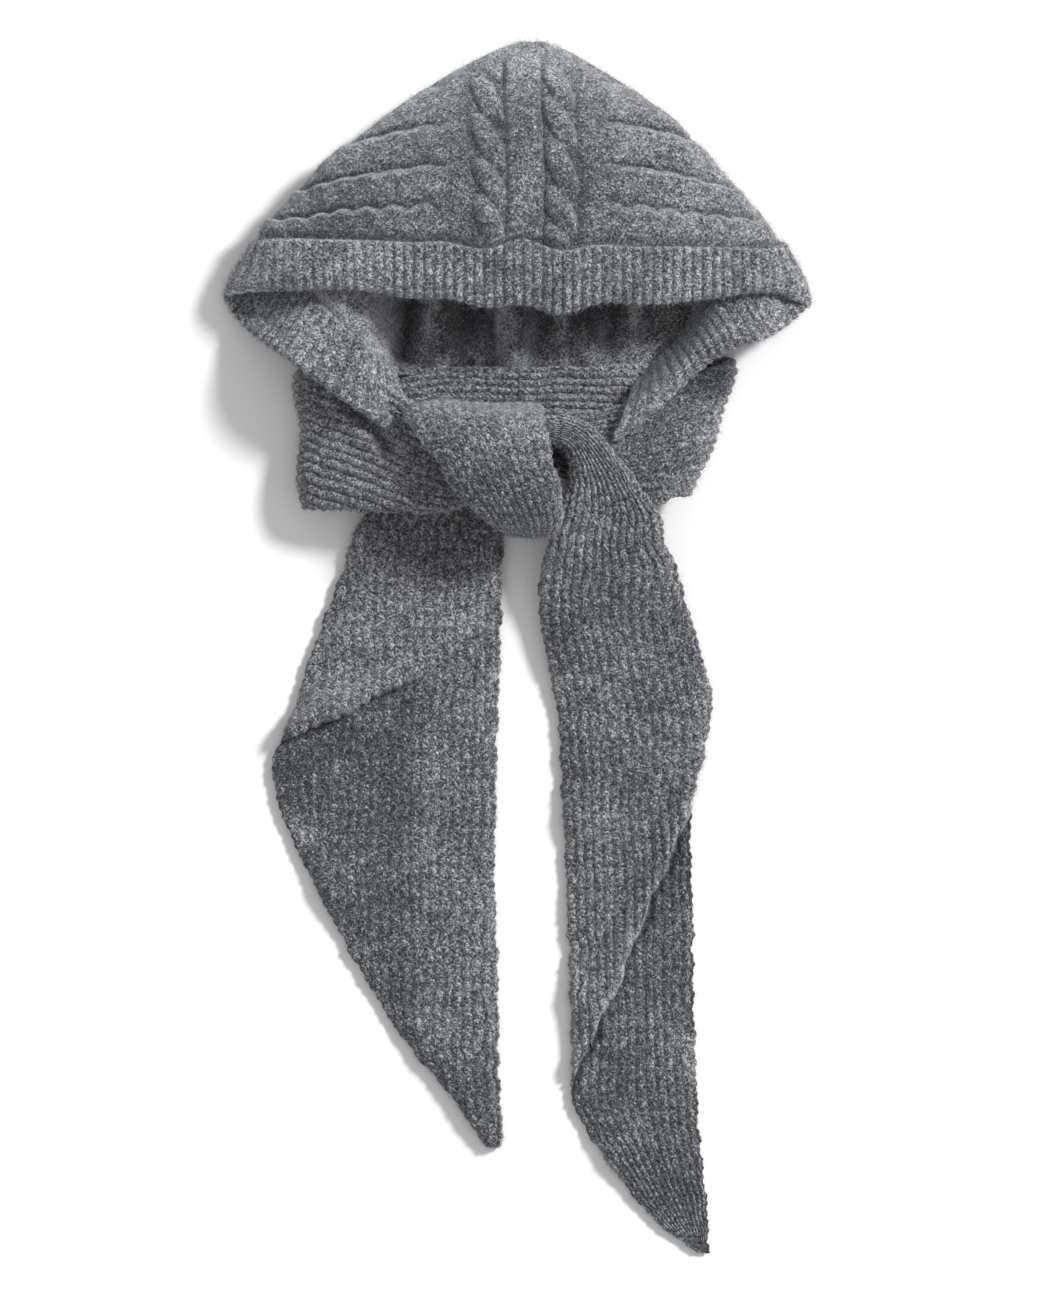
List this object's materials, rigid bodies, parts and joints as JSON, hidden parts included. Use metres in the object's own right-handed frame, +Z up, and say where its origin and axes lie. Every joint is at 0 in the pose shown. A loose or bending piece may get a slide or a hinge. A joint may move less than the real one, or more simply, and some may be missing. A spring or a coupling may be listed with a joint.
{
  "type": "hood",
  "caption": "Cable-knit hood with a ribbed face band and a long scarf tied once in front, lying on its back.",
  "frame": {"origin": "on the surface that it lies on, under the middle of its footprint", "axes": "+Z up from the surface, +Y towards the peak of the crown, +X to the side of the longer tail"},
  "size_m": [0.3813, 0.7855, 0.0711],
  "materials": {
    "cable_knit": "brushed melange wool, cable knit",
    "rib_knit": "brushed melange wool, ribbed",
    "scarf_knit": "brushed melange wool, half cardigan rib"
  },
  "bodies": {
    "root": {"hood_shell": "cable_knit", "face_band": "rib_knit", "scarf_left": "scarf_knit", "scarf_right": "scarf_knit"}
  },
  "joints": []
}
